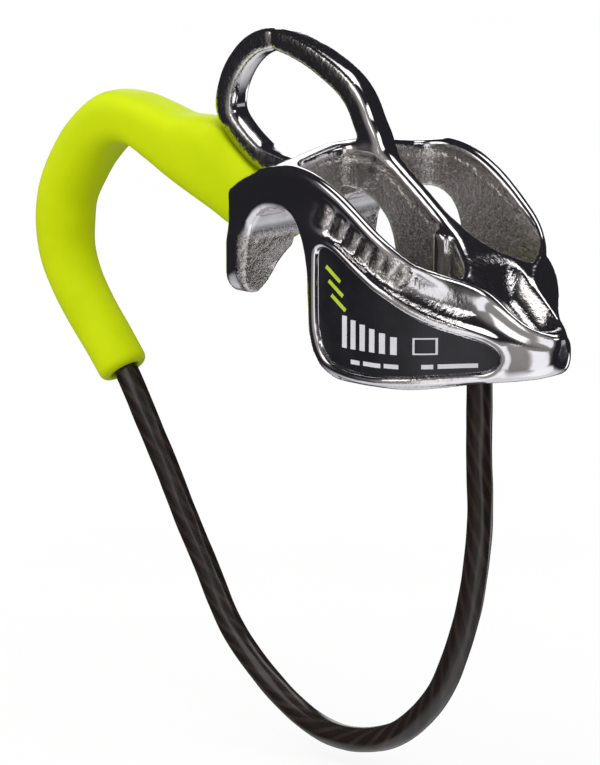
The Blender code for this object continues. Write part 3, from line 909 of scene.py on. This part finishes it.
def build_floor():
    mesh = bpy.data.meshes.new("floor")
    s, z = 1.5, -0.0612
    mesh.from_pydata([(-s, -s, z), (s, -s, z), (s, s, z), (-s, s, z)], [], [(0, 1, 2, 3)])
    floor = bpy.data.objects.new("floor", mesh)
    bpy.context.scene.collection.objects.link(floor)
    floor.visible_glossy = False
    material = bpy.data.materials.new("floor_paper")
    material.use_nodes = True
    g = Graph(material.node_tree)
    paper = g.add("ShaderNodeTexNoise", ("Scale", 60.0), ("Detail", 4.0)).outputs["Fac"]
    tone = g.mix(paper, rgb(0.97, 0.97, 0.97), rgb(1, 1, 1))
    diffuse = g.add("ShaderNodeBsdfDiffuse", ("Color", tone))
    seen = g.add("ShaderNodeLightPath").outputs["Is Camera Ray"]
    power = g.math("ADD", 0.3, g.math("MULTIPLY", seen, 0.7))
    glow = g.add("ShaderNodeEmission", ("Color", tone), ("Strength", power))
    both = g.add("ShaderNodeMixShader", (0, 0.85), (1, diffuse.outputs[0]), (2, glow.outputs[0]))
    g.add("ShaderNodeOutputMaterial", ("Surface", both.outputs[0]))
    mesh.materials.append(material)


def steel():
    material = bpy.data.materials.new("cast_steel")
    material.use_nodes = True
    g = Graph(material.node_tree)
    place = g.add("ShaderNodeTexCoord").outputs["Object"]
    cast = g.add("ShaderNodeAttribute", attribute_name="cast").outputs["Fac"]
    wave = g.add("ShaderNodeTexNoise", ("Vector", place), ("Scale", 420.0), ("Detail", 2.0)).outputs["Fac"]
    coarse = g.add("ShaderNodeTexNoise", ("Vector", place), ("Scale", 1100.0), ("Detail", 5.0)).outputs["Fac"]
    fine = g.add("ShaderNodeTexNoise", ("Vector", place), ("Scale", 2600.0), ("Detail", 3.0)).outputs["Fac"]
    smear = g.range(wave, 0.42, 0.66)
    rough = g.math("ADD", 0.06, g.math("MULTIPLY", cast, 0.12))
    rough = g.math("ADD", rough, g.math("MULTIPLY", smear, 0.05))
    polished = g.math("ADD", g.math("MULTIPLY", wave, 0.5), g.math("MULTIPLY", coarse, 0.12))
    skin = g.math("ADD", g.math("MULTIPLY", fine, 0.45), g.math("MULTIPLY", coarse, 0.75))
    grainy = g.math("MULTIPLY", g.math("MULTIPLY", skin, cast), 0.9)
    lift = g.math("ADD", g.math("MULTIPLY", polished, 0.12), grainy)
    bump = g.add("ShaderNodeBump", ("Height", lift), ("Strength", 1.0), ("Distance", 0.0004)).outputs[0]
    worn = g.mix(smear, rgb(0.74, 0.73, 0.75), rgb(0.68, 0.665, 0.675))
    pits = g.range(fine, 0.46, 0.60, 1.0, 0.72)
    colour = g.mix(cast, worn, rgb(0.60, 0.565, 0.535))
    colour = g.mix(g.math("MULTIPLY", cast, g.math("SUBTRACT", 1.0, pits)), colour, rgb(0.16, 0.14, 0.13))
    shader = g.add(
        "ShaderNodeBsdfPrincipled",
        ("Base Color", colour),
        ("Metallic", 1.0),
        ("Roughness", rough),
        ("Normal", bump),
    )
    g.add("ShaderNodeOutputMaterial", ("Surface", shader.outputs[0]))
    return material


def plain(name, low, high, rough, scale, bump, metallic=0.0, gloss=0.5):
    """Material whose colour drifts between two tones, with a fine grain."""
    material = bpy.data.materials.new(name)
    material.use_nodes = True
    g = Graph(material.node_tree)
    place = g.add("ShaderNodeTexCoord").outputs["Object"]
    drift = g.add("ShaderNodeTexNoise", ("Vector", place), ("Scale", scale), ("Detail", 3.0)).outputs["Fac"]
    grain = g.add("ShaderNodeTexNoise", ("Vector", place), ("Scale", 3200.0), ("Detail", 3.0)).outputs["Fac"]
    colour = g.mix(g.range(drift, 0.3, 0.7), rgb(*low), rgb(*high))
    lift = g.add("ShaderNodeBump", ("Height", grain), ("Strength", bump), ("Distance", 0.0001)).outputs[0]
    shader = g.add(
        "ShaderNodeBsdfPrincipled",
        ("Base Color", colour),
        ("Metallic", metallic),
        ("Roughness", g.math("ADD", rough, g.math("MULTIPLY", drift, 0.08))),
        ("Normal", lift),
        ("Specular IOR Level", gloss),
    )
    g.add("ShaderNodeOutputMaterial", ("Surface", shader.outputs[0]))
    return material


def dress(obj, material):
    obj.data.materials.clear()
    obj.data.materials.append(material)


def tinted_jacket():
    """Dark glossy jacket with the strands of the wire showing through it as faint brown bands."""
    material = bpy.data.materials.new("tinted_jacket")
    material.use_nodes = True
    g = Graph(material.node_tree)
    place = g.add("ShaderNodeTexCoord").outputs["Object"]
    strand = g.add("ShaderNodeAttribute", attribute_name="strand").outputs["Fac"]
    cloud = g.add("ShaderNodeTexNoise", ("Vector", place), ("Scale", 240.0), ("Detail", 3.0)).outputs["Fac"]
    shown = g.math("MULTIPLY", g.range(strand, 0.45, 0.95), g.range(cloud, 0.3, 0.7, 0.35, 1.0))
    colour = g.mix(shown, rgb(0.015, 0.011, 0.010), rgb(0.042, 0.028, 0.022))
    lift = g.add("ShaderNodeBump", ("Height", cloud), ("Strength", 0.1), ("Distance", 0.0001)).outputs[0]
    shader = g.add(
        "ShaderNodeBsdfPrincipled",
        ("Base Color", colour),
        ("Roughness", g.math("ADD", 0.17, g.math("MULTIPLY", cloud, 0.1))),
        ("Normal", lift),
    )
    g.add("ShaderNodeOutputMaterial", ("Surface", shader.outputs[0]))
    return material


build_world()
build_floor()
dress(body, steel())
rubber = plain("lime_rubber", (0.60, 0.745, 0.001), (0.64, 0.785, 0.002), 0.42, 140.0, 0.08, gloss=0.07)
bright = plain("wire_steel", (0.55, 0.54, 0.53), (0.66, 0.65, 0.64), 0.28, 500.0, 0.1, 1.0)
brass = plain("crimp_metal", (0.52, 0.50, 0.48), (0.62, 0.60, 0.58), 0.25, 300.0, 0.1, 1.0)
print_black = plain("label_black", (0.008, 0.008, 0.012), (0.013, 0.013, 0.018), 0.38, 300.0, 0.15)
print_lime = plain("label_lime", (0.50, 0.66, 0.03), (0.56, 0.72, 0.04), 0.45, 300.0, 0.05)
print_white = plain("label_white", (0.72, 0.72, 0.78), (0.82, 0.82, 0.87), 0.45, 300.0, 0.05)
rim = plain("badge_rim", (0.30, 0.30, 0.31), (0.50, 0.50, 0.52), 0.3, 400.0, 0.05)
dress(sleeve, rubber)
dress(badge, rim)
dress(jacket, tinted_jacket())
dress(wire, bright)
for plate, lime, white in art:
    dress(plate, print_black)
    dress(lime, print_lime)
    dress(white, print_white)
for node, material, slot in (
    ("wire_nose_end", bright, "wire"),
    ("nose_ferrule", brass, "ferrule"),
    ("rear_ferrule", brass, "ferrule"),
):
    dress(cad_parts[node], material)
